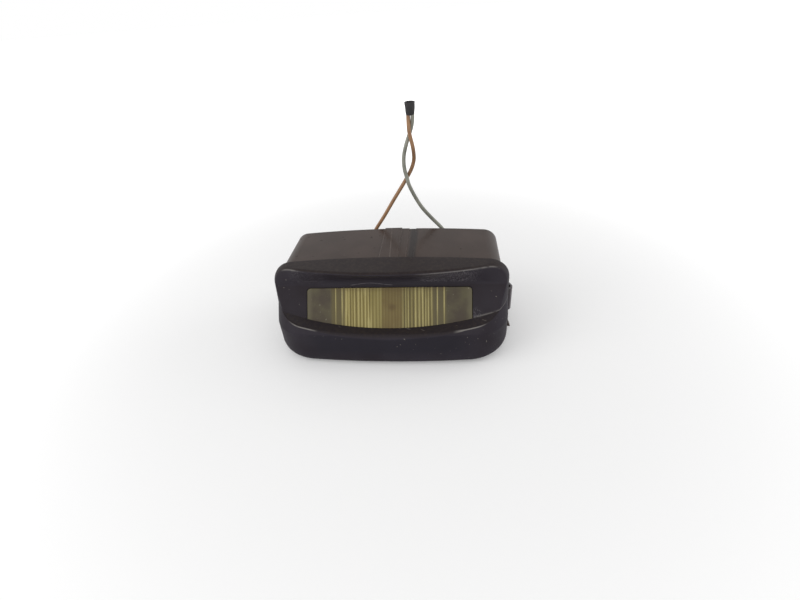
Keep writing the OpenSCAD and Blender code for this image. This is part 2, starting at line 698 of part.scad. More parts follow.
module tube(points, d) {
    path = route(points);
    last = len(path) - 1;
    rings = [for (i = [0 : last]) let (t = i == 0 || i == last ? [0, 0, 1] : unit(path[i + 1] - path[i - 1]),
             u = unit(cross([0, 1, 0], t)), v = cross(t, u))
             each [for (k = [0 : 7]) path[i] + d / 2 * (cos(45 * k) * u + sin(45 * k) * v)]];
    walls = [for (i = [0 : last - 1], k = [0 : 7]) let (n = (k + 1) % 8)
             each [[i * 8 + k, (i + 1) * 8 + k, (i + 1) * 8 + n], [i * 8 + k, (i + 1) * 8 + n, i * 8 + n]]];
    ends = [[for (k = [0 : 7]) k], [for (k = [7 : -1 : 0]) last * 8 + k]];
    polyhedron(rings, concat(walls, ends), convexity = 8);
}

module wire_brown() { color([0.5, 0.33, 0.2]) tube(brown_route, wire_d); }
module wire_grey() { color([0.42, 0.43, 0.38]) tube(grey_route, wire_d); }

// Shrunk sleeve that closes the ends of both wires
module end_sleeve() {
    color(rubber_colour) translate([sleeve_x, wire_y, sleeve_low])
        cylinder(d1 = 2 * wire_d + 0.4, d2 = 2 * wire_d + 0.9, h = sleeve_h, $fn = 32);
}

cover();
lens();
lens_seal();
housing();
terminal_lid();
reflector();
bulb_glass();
bulb_cap_left();
bulb_cap_right();
bulb_filament();
contact_left();
contact_right();
contact_rivets();
terminal_left();
terminal_right();
grommet_left();
grommet_right();
side_spring_left();
side_spring_right();
wire_brown();
wire_grey();
end_sleeve();
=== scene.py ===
from math import radians, sin, cos, tan, atan2, hypot, pi
import bpy
import numpy as np
from mathutils import Matrix


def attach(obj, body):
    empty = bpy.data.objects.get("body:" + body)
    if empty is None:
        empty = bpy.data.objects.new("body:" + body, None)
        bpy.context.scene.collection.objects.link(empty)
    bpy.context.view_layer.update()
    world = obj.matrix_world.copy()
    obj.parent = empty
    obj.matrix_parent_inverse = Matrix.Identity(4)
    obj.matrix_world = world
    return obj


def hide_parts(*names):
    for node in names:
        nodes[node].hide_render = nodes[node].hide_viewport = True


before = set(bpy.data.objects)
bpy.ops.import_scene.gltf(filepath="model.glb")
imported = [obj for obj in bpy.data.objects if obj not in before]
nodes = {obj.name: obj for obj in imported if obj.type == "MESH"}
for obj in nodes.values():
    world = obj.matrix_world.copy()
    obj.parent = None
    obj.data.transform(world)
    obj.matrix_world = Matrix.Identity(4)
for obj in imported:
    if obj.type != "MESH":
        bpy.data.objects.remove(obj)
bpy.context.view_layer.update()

# Camera: a hand-held view from in front of the hood, a little to the right and well above, tipped down at
# the lamp.
camera_at = (0.0216, -0.1477, 0.1173)
camera_turn, camera_tip, camera_roll = radians(7.35), radians(54.7), radians(-4.7)
camera = bpy.data.objects.new("camera", bpy.data.cameras.new("camera"))
camera.data.lens, camera.data.sensor_width, camera.data.clip_start = 19.8, 36, 0.01
camera.matrix_world = (Matrix.Translation(camera_at) @ Matrix.Rotation(camera_turn, 4, "Z")
                       @ Matrix.Rotation(camera_tip, 4, "X") @ Matrix.Rotation(camera_roll, 4, "Z"))
bpy.context.scene.collection.objects.link(camera)
bpy.context.scene.camera = camera


# Supply wires: two stiff thin-wall car wires, 1.5 mm over extruded insulation, crimped to the terminals, led
# out through rubber seals and twisted once round each other below their sleeve.
class Socket:
    """One socket of a material. Sums, products and so on of sockets add Math nodes; node() adds any other
    node."""

    def __init__(self, tree, out=None):
        self.tree, self.out = tree, out

    def node(self, kind, settings=None, sockets=None, out=0):
        """Node of that kind: its settings go in first, then the values or links of its sockets. Gives one
        output."""
        made = self.tree.nodes.new("ShaderNode" + kind)
        for name, value in (settings or {}).items():
            setattr(made, name, value)
        for name, value in (sockets or {}).items():
            if isinstance(value, Socket):
                self.tree.links.new(value.out, made.inputs[name])
            else:
                made.inputs[name].default_value = value
        return Socket(self.tree, made.outputs[out])

    def maths(self, operation, *terms):
        """Math node on this value and the terms after it."""
        return self.node("Math", {"operation": operation}, dict(enumerate((self, *terms))))

    def __add__(self, other):
        return self.maths("ADD", other)

    def __sub__(self, other):
        return self.maths("SUBTRACT", other)

    def __rsub__(self, other):
        return self.node("Math", {"operation": "SUBTRACT"}, {0: other, 1: self})

    def __mul__(self, other):
        return self.maths("MULTIPLY", other)

    __radd__, __rmul__ = __add__, __mul__

    def part(self, axis):
        """This vector's x, y or z, for axis 0, 1 or 2."""
        return self.node("SeparateXYZ", None, {0: self}, out=axis)

    def away_from(self, point):
        """Distance of these coordinates from a point."""
        return self.node("VectorMath", {"operation": "DISTANCE"}, {0: self, 1: point}, out=1)

    def step(self, low, high):
        """Smooth rise from 0 at low to 1 at high, or a fall where low is the larger."""
        first, last = (1.0, 0.0) if low > high else (0.0, 1.0)
        return self.node("MapRange", {"interpolation_type": "SMOOTHSTEP"},
                         {"Value": self, "From Min": min(low, high), "From Max": max(low, high),
                          "To Min": first, "To Max": last})

    def band(self, middle, outer, inner):
        """1 where this value is within inner of the middle, falling to 0 at outer."""
        return (self - middle).maths("ABSOLUTE").step(outer, inner)

    def noise(self, scale, detail=2.0, rough=0.5):
        """Noise of that many features a metre, from 0 to 1, over these coordinates."""
        return self.node("TexNoise", None,
                         {"Vector": self, "Scale": scale, "Detail": detail, "Roughness": rough})

    def stretched(self, x, y, z):
        """These coordinates, multiplied along each axis."""
        return self.node("VectorMath", {"operation": "MULTIPLY"}, {0: self, 1: (x, y, z)})

    def turned(self, angle):
        """These coordinates, turned about z."""
        return self.node("VectorRotate", {"rotation_type": "Z_AXIS"}, {"Vector": self, "Angle": angle})

    def wave(self, pitch, shift=0.0):
        """Cosine of this value over that pitch, brought between 0 and 1."""
        return (self - shift).maths("MULTIPLY", 2 * pi / pitch).maths("COSINE") * 0.5 + 0.5

    def tint(self, low, high):
        """Colour that runs from low to high as this value goes from 0 to 1."""
        return self.node("Mix", {"data_type": "RGBA"}, {0: self, 6: low, 7: high}, out=2)

    def bump(self, strength, distance, **more):
        """Normal of a surface that this value raises by up to that distance."""
        return self.node("Bump", None, {"Strength": strength, "Distance": distance, "Height": self, **more})


def finish(name, build, **constants):
    """Material of that name: build(place) gets Object coordinates and returns what varies over the surface,
    by socket. The constants go straight on the shader's other sockets."""
    made = bpy.data.materials.new(name)
    made.use_nodes = True
    shader = made.node_tree.nodes["Principled BSDF"]
    for socket, value in constants.items():
        shader.inputs[socket.replace("_", " ")].default_value = value
    place = Socket(made.node_tree).node("TexCoord", out=3)
    for socket, value in build(place).items():
        made.node_tree.links.new(value.out, shader.inputs[socket])
    return made


def rgb(red, green, blue):
    """Linear colour of a displayed one given from 0 to 255."""
    shown = np.array([red, green, blue]) / 255
    return (*np.where(shown < 0.04045, shown / 12.92, ((shown + 0.055) / 1.055) ** 2.4), 1.0)


def new_piece(name, mesh, material, sharp=None):
    """Object of that mesh at the origin, smooth but for edges sharper than that angle, riding on the
    lamp."""
    piece = bpy.data.objects.new(name, mesh)
    bpy.context.scene.collection.objects.link(piece)
    mesh.polygons.foreach_set("use_smooth", np.ones(len(mesh.polygons), bool))
    if sharp:
        mesh.set_sharp_from_angle(angle=radians(sharp))
    mesh.materials.clear()
    mesh.materials.append(material)
    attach(piece, "root")
    return piece


def loft(name, rows):
    """Closed skin over a grid of points: each row is a closed loop, joined to the next one, and a cap closes
    each of the two ends."""
    n, m = rows.shape[:2]
    i, j = np.meshgrid(np.arange(n - 1), np.arange(m), indexing="ij")
    k = (j + 1) % m
    walls = np.stack([i * m + j, i * m + k, (i + 1) * m + k, (i + 1) * m + j], -1).reshape(-1, 4)
    caps = [list(range(m - 1, -1, -1)), list(range((n - 1) * m, n * m))]
    mesh = bpy.data.meshes.new(name)
    mesh.from_pydata(rows.reshape(-1, 3), [], walls.tolist() + caps)
    return mesh


wire_d, wire_y, wire_exit = 0.0015, 0.0225, 0.0205
brown_route = np.array([
    [-12.8, 0, 13.5], [-12.8, 0, 17.5], [-12.8, 0, 21], [-12.2, 0, 24.9], [-10.7, 0, 28.9], [-8.2, 0, 33.3],
    [-4.1, 0, 39.3], [-1.6, 0, 43.2], [0.6, 0.2, 46.6], [4.6, 0.8, 52.5], [6.5, 0.9, 55.5], [8.4, 0.8, 58.9],
    [9.5, 0.3, 62.4], [9.6, -0.2, 65.4], [9.3, -0.6, 68.3], [8.7, -0.9, 71.3], [8.3, -0.9, 73.8],
    [8.2, -0.3, 76.2], [8.2, 0, 78.2], [8.25, 0, 80]]) / 1000
grey_route = np.array([
    [22.6, 0, 13.5], [22.6, 0, 17.5], [22.6, 0, 21], [22.5, 0, 24.7], [21.9, 0, 28.7], [20.3, 0, 32.7],
    [16, 0, 37.7], [12.1, -0.1, 42.6], [9.4, -0.5, 47.6], [7.3, -0.9, 52.6], [6.6, -0.9, 55.5],
    [5.8, -0.7, 59], [5.6, -0.3, 62.4], [6, 0.1, 65.4], [7, 0.6, 68.8], [8.3, 0.9, 72.2], [9.3, 0.7, 75.2],
    [9.8, 0, 78.2], [9.75, 0, 80]]) / 1000


def smooth_route(points, steps=6):
    """Points along the cubic that passes through each route point, its slope there set by the points beside
    it."""
    p = np.concatenate([points[:1], points, points[-1:]])
    a, b, c, d = (p[k : len(p) - 3 + k, None] for k in range(4))
    u = np.linspace(0, 1, steps, endpoint=False)[None, :, None]
    curve = 0.5 * (2 * b + (c - a) * u + (2 * a - 5 * b + 4 * c - d) * u**2 + (3 * b - a - 3 * c + d) * u**3)
    return np.concatenate([curve.reshape(-1, 3), points[-1:]])


def tube(path, d, sides=16):
    """Rings of radius d/2 square to the path, one for each of its points."""
    along = np.gradient(path, axis=0)
    along[0] = along[-1] = (0, 0, 1)
    along /= np.linalg.norm(along, axis=1, keepdims=True)
    across = np.cross([0, 1, 0], along)
    across /= np.linalg.norm(across, axis=1, keepdims=True)
    up = np.cross(along, across)
    turn = np.linspace(0, 2 * pi, sides, endpoint=False)[None, :, None]
    return path[:, None] + d / 2 * (np.cos(turn) * across[:, None] + np.sin(turn) * up[:, None])


def insulation(deep, bright):
    """Extruded insulation: long faint streaks up the wire, paler in patches where it has been handled."""
    def build(place):
        streak = place.stretched(1, 1, 0.12).noise(2200, 2)
        patch = place.noise(140, 3)
        shade = (streak * 0.35 + patch * 0.65).step(0.3, 0.7)
        return {"Base Color": shade.tint(deep, bright),
                "Roughness": patch * 0.25 + 0.35,
                "Normal": streak.bump(0.25, 0.00006)}
    return build


sleeve_x, sleeve_low, sleeve_high = 0.0090, 0.0791, 0.0836
sleeve_r, foot_half_w, foot_half_d = 0.00195, 0.00155, 0.00098
mouth_shares, mouth_depths = np.array([0.94, 0.80, 0.72]), np.array([0, 0.0002, 0.0011])
foot_share, foot_lift, crease_depth, crease_count, crease_twist = 0.8, 0.0001, 0.02, 5, 9


def shrunk_sleeve(across, rings):
    """Oval rings of the sleeve: pinched over the two wires at the foot, round at the top, and dished in at
    its end, with slight creases that wind up it as a cosine."""
    up = np.linspace(0, 1, rings)
    tall = sleeve_high - sleeve_low
    wide = foot_half_w + (sleeve_r - foot_half_w) * up**0.8
    deep = foot_half_d + (sleeve_r - foot_half_d) * np.sin(up * pi / 2)
    wide, deep = (np.concatenate([size[:1] * foot_share, size, size[-1] * mouth_shares])[:, None]
                  for size in (wide, deep))
    high = sleeve_low + tall * up
    high = np.concatenate([high[:1] + foot_lift, high, sleeve_high - mouth_depths])[:, None]
    turn = np.linspace(0, 2 * pi, across, endpoint=False)[None]
    crease = 1 + crease_depth * np.cos(crease_count * turn + crease_twist * high / tall)
    return np.stack([sleeve_x + wide * crease * np.cos(turn), wire_y + deep * crease * np.sin(turn),
                     np.broadcast_to(high, (len(high), across))], -1)


def rubber(place):
    """Soft rubber with a dusty bloom."""
    bloom = place.noise(900, 3)
    return {"Base Color": bloom.tint(rgb(30, 29, 31), rgb(54, 52, 53)),
            "Roughness": 0.5 + bloom * 0.25,
            "Normal": bloom.bump(0.3, 0.00005)}


seal_rubber = finish("seal_rubber", rubber)
sleeve = new_piece("sleeve", loft("sleeve", shrunk_sleeve(48, 14)), seal_rubber, sharp=40)
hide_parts("end_sleeve")
brown_finish = finish("wire_brown", insulation(rgb(118, 84, 56), rgb(166, 126, 90)), Coat_Weight=0.1)
grey_finish = finish("wire_grey", insulation(rgb(112, 112, 102), rgb(154, 154, 142)), Coat_Weight=0.1)
for name, route, material in (("wire_brown", brown_route, brown_finish),
                              ("wire_grey", grey_route, grey_finish)):
    path = smooth_route(route + [0, wire_y, 0])
    wire = new_piece(name + "_insulation", loft(name, tube(path, wire_d)), material)
    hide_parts(name)


# Cover: black moulded hood, textured by its mould, with a crowned top, round corners, and a scoop in front
# of the lens that ends in a curved lip and ledge above the chin. It snaps over the housing's spigot.
cover_w, cover_h, cover_wall = 0.090, 0.036, 0.002
chin_depth, brow_depth, chin_bow, brow_bow, top_crown = 0.020, 0.0116, 0.003, 0.0094, 0.0019
chin_corner_r, brow_corner_r, chin_plan_r, brow_plan_r = 0.0055, 0.0075, 0.0125, 0.012
chin_edge_r, brow_edge_r = 0.0035, 0.001
window_lean, lip_depth, lip_z, lip_arc_r, ledge_arc_r = radians(35), 0.0145, 0.014, 0.166, 0.245
scoop_fillet_r, frame_above = 0.0025, 0.0006
window_w, window_h, window_corner_r, lip_overlap, lens_gap = 0.0626, 0.0152, 0.0016, 0.0022, 0.00025
brow_round, ledge_end_r, ledge_middle_r, ledge_round_half_w = 0.0004, 0.0004, 0.0022, 0.028
seat_y, hollow_past, window_past = -0.0063, 0.001, 0.002
snap_groove_in, snap_groove_out, snap_groove_t, snap_groove_l = 0.0415, 0.0438, 0.0018, 0.0106
snap_groove_y = seat_y - 0.0012
# Where the painted highlights run along the brow's crease, the ledge's edge and the lip, and their widths.
crease_highlight_right, crease_highlight_left = (0.010, 0.018, 0.0385, 0.0405), (0.032, 0.035, 0.0385, 0.0405)
ledge_highlight_right, ledge_highlight_left = (0.024, 0.027, 0.033, 0.037), (0.026, 0.029, 0.035, 0.038)
lip_highlight_right, crease_highlight_w, lip_highlight_w = (0.030, 0.034), 0.00035, 0.0003


def drawn_in(depth, r):
    """How far a quarter circle of radius r has drawn in from its side line at a depth from its end line."""
    left = np.clip(r - depth, 0, r)
    return r - np.sqrt(np.maximum(r * r - left * left, 0))


def ramp(x, low, high):
    """Straight rise from 0 at low to 1 at high, or a fall where low is the larger."""
    return np.clip((x - low) / (high - low), 0, 1)


def between(x, start, full, last, end):
    """Straight rise from 0 at start to 1 at full, and a straight fall from 1 at last to 0 at end."""
    return ramp(x, start, full) * ramp(x, end, last)


def bow(x, z):
    """How far the front lies back at x: a parabola that deepens from the chin to the brow."""
    return (chin_bow + (brow_bow - chin_bow) * ramp(z, lip_z, cover_h)) * (x / (cover_w / 2)) ** 2


def cover_front(x, z, t):
    """Front of the cover as y, for a skin t inside its surface: a depth that leans back above the lip, bowed
    along x, with round corners in plan."""
    up, down = z - t, cover_h - t - z
    w = cover_w / 2 - t - drawn_in(up, chin_corner_r - t) - drawn_in(down, brow_corner_r - t)
    lean = np.clip((z - lip_z) / (cover_h - lip_z), 0, None)
    f = (chin_depth + (brow_depth - chin_depth) * lean - t - drawn_in(up, max(chin_edge_r - t, 0.0004))
         - drawn_in(down, max(brow_edge_r - t, 0.0002)))
    r = np.minimum(chin_plan_r + (brow_plan_r - chin_plan_r) * z / cover_h - t, f - bow(w, z) - 0.0004)
    past = np.clip(abs(x) - (w - r), 0, r)
    return -f + bow(x, z) + r - np.sqrt(np.maximum(r * r - past * past, 0))


def scoop_back(x, z, g):
    """Back of the scoop as y, grown by g: the leaning window plane, an arc, and the ceiling that rises to
    the bowed brow."""
    lip = np.array([-lip_depth, lip_z])
    along = np.array([sin(window_lean), cos(window_lean)])
    behind = np.array([cos(window_lean), -sin(window_lean)])
    centre = lip + along * (window_h + frame_above) - behind * scoop_fillet_r
    across = -brow_depth + bow(x, cover_h) - centre[0]
    upward = cover_h - brow_edge_r - top_crown * (x / (cover_w / 2)) ** 2 - centre[1]
    aim = np.arctan2(upward, across) + np.arcsin(scoop_fillet_r / np.hypot(across, upward))
    r = scoop_fillet_r + g
    plane = lip[0] + (z - lip[1]) * tan(window_lean) + g / cos(window_lean)
    arc = centre[0] + np.sqrt(np.maximum(r * r - (z - centre[1]) ** 2, 0))
    turn = centre[1] - r * np.cos(aim)
    ceiling = centre[0] + r * np.sin(aim) + (z - turn) * np.cos(aim) / np.sin(aim)
    return np.where(z < centre[1] - r * sin(window_lean), plane, np.where(z < turn, arc, ceiling))


def ledge_foot(x, g):
    """Where the ledge meets the window plane as (y, z), both grown by g, and how fast the ledge rises with
    y: it falls from the lip's arc to a flatter arc along the chin's front."""
    rise, flatter = (r - np.sqrt(r * r - x * x) for r in (lip_arc_r, ledge_arc_r))
    corner_y = -lip_depth + tan(window_lean) * rise
    edge_y = bow(x, lip_z + flatter) - chin_depth + (chin_depth - brow_depth) * flatter / (cover_h - lip_z)
    size = np.hypot(corner_y - edge_y, rise - flatter)
    below_y, below_z = (rise - flatter) / size, (edge_y - corner_y) / size
    mitre = g / (1 + below_y * cos(window_lean) - below_z * sin(window_lean))
    return (corner_y + (below_y + cos(window_lean)) * mitre,
            lip_z + rise + (below_z - sin(window_lean)) * mitre,
            (rise - flatter) / (corner_y - edge_y))


def soft_max(a, b, k):
    """The larger of a and b, rounded over a width k where they cross."""
    h = np.clip(0.5 + 0.5 * (a - b) / k, 0, 1)
    return b + (a - b) * h + k * h * (1 - h)


def cover_loops(t, y_back, columns, fine):
    """Closed sections of the cover at each x, for a skin t inside its surface: top, scoop, ledge, chin,
    bottom, and how much painted highlight each point gets. Heights are worked out level and then lowered by
    the crown, which grows with the square of height and of x. The painted highlight falls off as a bell
    curve from the brow's crease and the lip's end, and as a sine over the ledge's round edge."""
    x = ((cover_w / 2 - t) * np.sin(np.linspace(-pi / 2, pi / 2, columns)))[:, None]
    low_r, top_r = chin_corner_r - t, brow_corner_r - t
    side = np.clip(abs(x) - (cover_w / 2 - t - low_r), 0, low_r)
    z_low = t + low_r - np.sqrt(np.maximum(low_r**2 - side**2, 0))
    side = np.clip(abs(x) - (cover_w / 2 - t - top_r), 0, top_r)
    z_high = cover_h - t - top_r + np.sqrt(np.maximum(top_r**2 - side**2, 0))
    crown = top_crown * (x / (cover_w / 2)) ** 2 / cover_h**2

    def level(z):
        return z + crown * (z + crown * z**2) ** 2

    foot_y, foot_z, slope = ledge_foot(x, t)
    back = np.linspace(0, 1, 8, endpoint=False)[None]
    near = np.concatenate([0.05 * np.linspace(0, 1, fine // 6, endpoint=False) ** 2,
                           np.linspace(0.05, 1, fine)])
    z_up = z_high - (z_high - level(foot_z)) * near[None]
    shown = z_up - crown * z_up**2
    front = cover_front(x, z_up, t)
    scooped = scoop_back(x, shown, t)
    above = soft_max(front, scooped, brow_round)
    # Painted highlight: pale lines along the ends of the brow's crease and the end of the lip, where light
    # catches those edges.
    crease_ends = between(x, *crease_highlight_right) + between(-x, *crease_highlight_left)
    painted_highlight = 0.7 * crease_ends * np.exp(-(((front - scooped) / crease_highlight_w) ** 2))
    painted_highlight = painted_highlight + 0.6 * ramp(x, *lip_highlight_right) * np.exp(-(((z_up - z_up[:, -1:]) / lip_highlight_w) ** 2))
    y_top = y_back + (above[:, :1] - y_back) * back
    z_top = np.broadcast_to(z_high - crown * z_high**2, y_top.shape)

    edge_z = foot_z
    for _ in range(6):
        edge_y = cover_front(x, level(edge_z), t)
        edge_z = foot_z + np.minimum(edge_y - foot_y, 0) * slope
    room = np.maximum(above[:, -1:] - edge_y, 0)
    edge_r = ledge_end_r + (ledge_middle_r - ledge_end_r) * ramp(abs(x), ledge_round_half_w, 0) ** 0.7
    edge_r = np.minimum(edge_r, room / 2)
    turn = np.linspace(0, pi / 2, 9)[None]
    y_ledge = above[:, -1:] + (edge_y + edge_r - above[:, -1:]) * np.linspace(0, 1, 10)[None, 1:-1]
    z_ledge = foot_z + np.minimum(y_ledge - foot_y, 0) * slope
    z_edge = z_ledge[:, -1:] - edge_r * (1 - np.cos(turn))
    y_face = cover_front(x, level(z_edge[:, -1:]), t)
    y_edge = y_face + (edge_y + edge_r - y_face) * (1 - np.sin(turn))
    z_chin = z_low + (level(z_edge[:, -1:]) - z_low) * np.cos(np.linspace(0, pi / 2, fine // 2)[None, 1:])
    y_chin = cover_front(x, z_chin, t)
    y_floor = y_chin[:, -1:] + (y_back - y_chin[:, -1:]) * np.linspace(0, 1, 9)[None, 1:]
    z_floor = np.broadcast_to(z_low - crown * z_low**2, y_floor.shape)

    y = np.concatenate([y_top, above, y_ledge, y_edge, y_chin, y_floor], 1)
    z = np.concatenate([z_top, shown, z_ledge, z_edge, z_chin - crown * z_chin**2, z_floor], 1)
    # Painted highlight along the ends of the ledge's round edge, where light catches it.
    ledge_ends = between(x, *ledge_highlight_right) + between(-x, *ledge_highlight_left)
    ledge_highlight = np.sin(2 * turn) * ledge_ends * (room > 0.001)
    edge = np.concatenate([0 * y_top, painted_highlight, 0 * y_ledge, ledge_highlight, 0 * y_chin, 0 * y_floor], 1)
    return np.stack([np.broadcast_to(x, y.shape), y + seat_y, z], -1), edge


def window_outline(grow, per_corner=8):
    """Rectangle with round corners as (x, up the slope), from the lip's overlap to the top of the window,
    grown."""
    r = window_corner_r + max(grow, -window_corner_r / 2)
    w, low, high = window_w / 2 + grow, -lip_overlap - grow, window_h + grow
    turn = np.linspace(0, pi / 2, per_corner)
    corners = [(w - r, high - r, 0), (r - w, high - r, pi / 2),
               (r - w, low + r, pi), (w - r, low + r, 3 * pi / 2)]
    return np.concatenate([np.stack([x + r * np.cos(turn + start), v + r * np.sin(turn + start)], -1)
                           for x, v, start in corners])


def on_window(points):
    """Points given as x, up the slope and out of the lens, put on the window plane."""
    x, v, out = points[..., 0], points[..., 1], points[..., 2]
    return np.stack([x, seat_y - lip_depth + v * sin(window_lean) - out * cos(window_lean),
                     lip_z + v * cos(window_lean) + out * sin(window_lean)], -1)


def cut(mesh, tool):
    """The first closed mesh without what the second one covers."""
    body, cutter = bpy.data.objects.new("body", mesh), bpy.data.objects.new("cutter", tool)
    bpy.context.scene.collection.objects.link(body)
    bpy.context.scene.collection.objects.link(cutter)
    step = body.modifiers.new("cut", "BOOLEAN")
    step.operation, step.object, step.solver = "DIFFERENCE", cutter, "MANIFOLD"
    made = bpy.data.meshes.new_from_object(body.evaluated_get(bpy.context.evaluated_depsgraph_get()))
    bpy.data.objects.remove(body)
    bpy.data.objects.remove(cutter)
    return made


loops, edge = cover_loops(0, 0, columns=261, fine=96)
outside = loft("cover_outside", loops)
# The edge attribute holds the painted highlights along the crease, lip and ledge edges.
outside.attributes.new("edge", "FLOAT", "POINT").data.foreach_set("value", edge.ravel().astype(np.float32))
inside = loft("cover_inside", cover_loops(cover_wall, hollow_past, columns=121, fine=48)[0])
outline = window_outline(0)
prism = on_window(np.stack([np.concatenate([outline, np.full((len(outline), 1), out)], 1)
                            for out in (-cover_wall - window_past, lens_gap)]))
cover_mesh = cut(cut(outside, inside), loft("window", prism))
groove_loop = np.array([[-1, -1], [1, -1], [1, 1], [-1, 1]]) * (snap_groove_t / 2, snap_groove_l / 2)
groove_loop = groove_loop + (snap_groove_y, cover_h / 2)
for groove_ends in ((-snap_groove_out, -snap_groove_in), (snap_groove_in, snap_groove_out)):
    groove = np.stack([np.concatenate([np.full((4, 1), x), groove_loop], 1) for x in groove_ends])
    cover_mesh = cut(cover_mesh, loft("snap_groove", groove))


def moulded_black(place):
    """Satin black with the mould's fine grain, mottled on faces turned up. Painted reflections tint faces
    turned up browner and darken the middle of the chin. Painted light makes it greyer under the brow, with
    lighter grain specks there, and painted highlights make the ends of the brow's crease, the ledge's edge
    and the lip paler. It also has a thin pale wavy line under the brow, a chafe by the window's corner, and
    few specks of dust and short scratches."""
    grain, cloud = place.noise(3400, 3, 0.6), place.noise(90, 4)
    across, high = place.part(0), place.part(2)
    facing = place.node("NewGeometry", out=1).part(2)
    level, overhung = facing.step(0.35, 0.95), facing.step(0.62, 0.35)
    # Painted reflections: faces turned up are tinted brown, darker on the brow's top and greyer on the ledge
    # below 20 mm.
    brow_top_painted_reflection, ledge_painted_reflection = rgb(37, 29, 28), rgb(45, 40, 42)
    colour = cloud.step(0.3, 0.7).tint(rgb(42, 37, 43), rgb(50, 46, 53))
    colour = (level * 0.85).tint(colour, high.step(0.024, 0.020).tint(brow_top_painted_reflection, ledge_painted_reflection))
    # Painted light: faces turned down under the brow are lifted to a lighter grey.
    colour = (high.step(0.0265, 0.0285) * overhung * 0.5).tint(colour, rgb(52, 48, 54))

    # Painted reflection: the upper middle of the chin's front is darker.
    chin = across.band(0, 0.034, 0.024) * high.step(0.003, 0.008) * high.step(0.017, 0.013)
    colour = (chin * facing.step(0.5, 0.2) * 0.7).tint(colour, rgb(36, 34, 42))
    mottle = facing.step(0.5, 0.95) * place.noise(820, 4, 0.7).step(0.42, 0.68)
    colour = (mottle * 0.3).tint(colour, rgb(66, 58, 50))

    # Painted light: lighter grain specks under the brow, most at the right, lift the shade in the scoop's
    # corners.
    under_brow_painted_light = across.band(0.022, 0.014, 0.006) + across.band(-0.030, 0.009, 0.004) * 0.35
    under_brow_painted_light = under_brow_painted_light * high.step(0.0276, 0.0292) * overhung * place.noise(3300, 2).step(0.48, 0.64)
    # A thin pale wavy line under the brow.
    wavy_line = (high - across.wave(0.0172, -0.007) * 0.00076).band(0.02713, 0.00017, 0.00004)
    wavy_line = wavy_line * across.band(-0.0062, 0.0084, 0.0072) * place.noise(500, 2).step(0.3, 0.5)
    chafe = place.away_from((0.0324, -0.0181, 0.0184)).step(0.0030, 0.0008)
    chafe = chafe * place.turned(0.5).stretched(1.4, 1, 0.25).noise(2600, 2).step(0.5, 0.66)
    # The painted light under the brow, the wavy line and the chafe all tint towards one pale grey.
    colour = (under_brow_painted_light * 0.9 + wavy_line * 0.5 + chafe * 0.5).tint(colour, rgb(118, 114, 118))

    # Painted highlight: the edge attribute, broken up by noise, makes the crease, ledge and lip edges paler
    # and a little glossier where light catches them.
    painted_edge_highlight = place.node("Attribute", {"attribute_name": "edge"}, out=2)
    painted_edge_highlight = place.stretched(0.3, 1, 1).noise(900, 3).step(0.2, 0.5) * painted_edge_highlight
    colour = (painted_edge_highlight * 0.9).tint(colour, rgb(132, 128, 124))
    dust = place.noise(1500, 1).step(0.785, 0.81) * facing.step(-0.2, 0.6) * cloud.step(0.47, 0.6)
    scratch = place.turned(0.5).stretched(0.15, 1.6, 1).noise(1300, 1).step(0.75, 0.77)
    scratch = scratch * place.noise(45, 1).step(0.5, 0.6)
    colour = ((dust + scratch) * 0.55).tint(colour, rgb(150, 144, 134))
    return {"Base Color": colour,
            "Roughness": 0.42 + cloud * 0.14 + dust * 0.3 + grain * 0.08 - painted_edge_highlight * 0.12,
            "Normal": grain.bump(0.55, 0.00006)}


black_finish = finish("cover_black", moulded_black, Specular_IOR_Level=0.08, Coat_Weight=0.1,
                      Coat_Roughness=0.3)
cover = new_piece("cover_shell", cover_mesh, black_finish, sharp=32)
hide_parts("cover")


# Housing and terminal lid: one smooth dark brown-grey box moulding, snapped into the cover, and the flat lid
# that closes its terminal chamber. Both are polished by handling, their rounded edges paler with painted
# highlight, with a soft dark streak and a pale scratch on top.
groove_streak_x, band_scratch_x = 0.0096, 0.00035


def rounded_edges(place, radius):
    """Normal softened over edges by a radius, and a mask of those edges: 1 less its product with the flat
    one."""
    soft, flat = place.node("Bevel", {"samples": 6}, {"Radius": radius}), place.node("NewGeometry", out=1)
    return soft, 1 - soft.node("VectorMath", {"operation": "DOT_PRODUCT"}, {0: soft, 1: flat}, out=1)


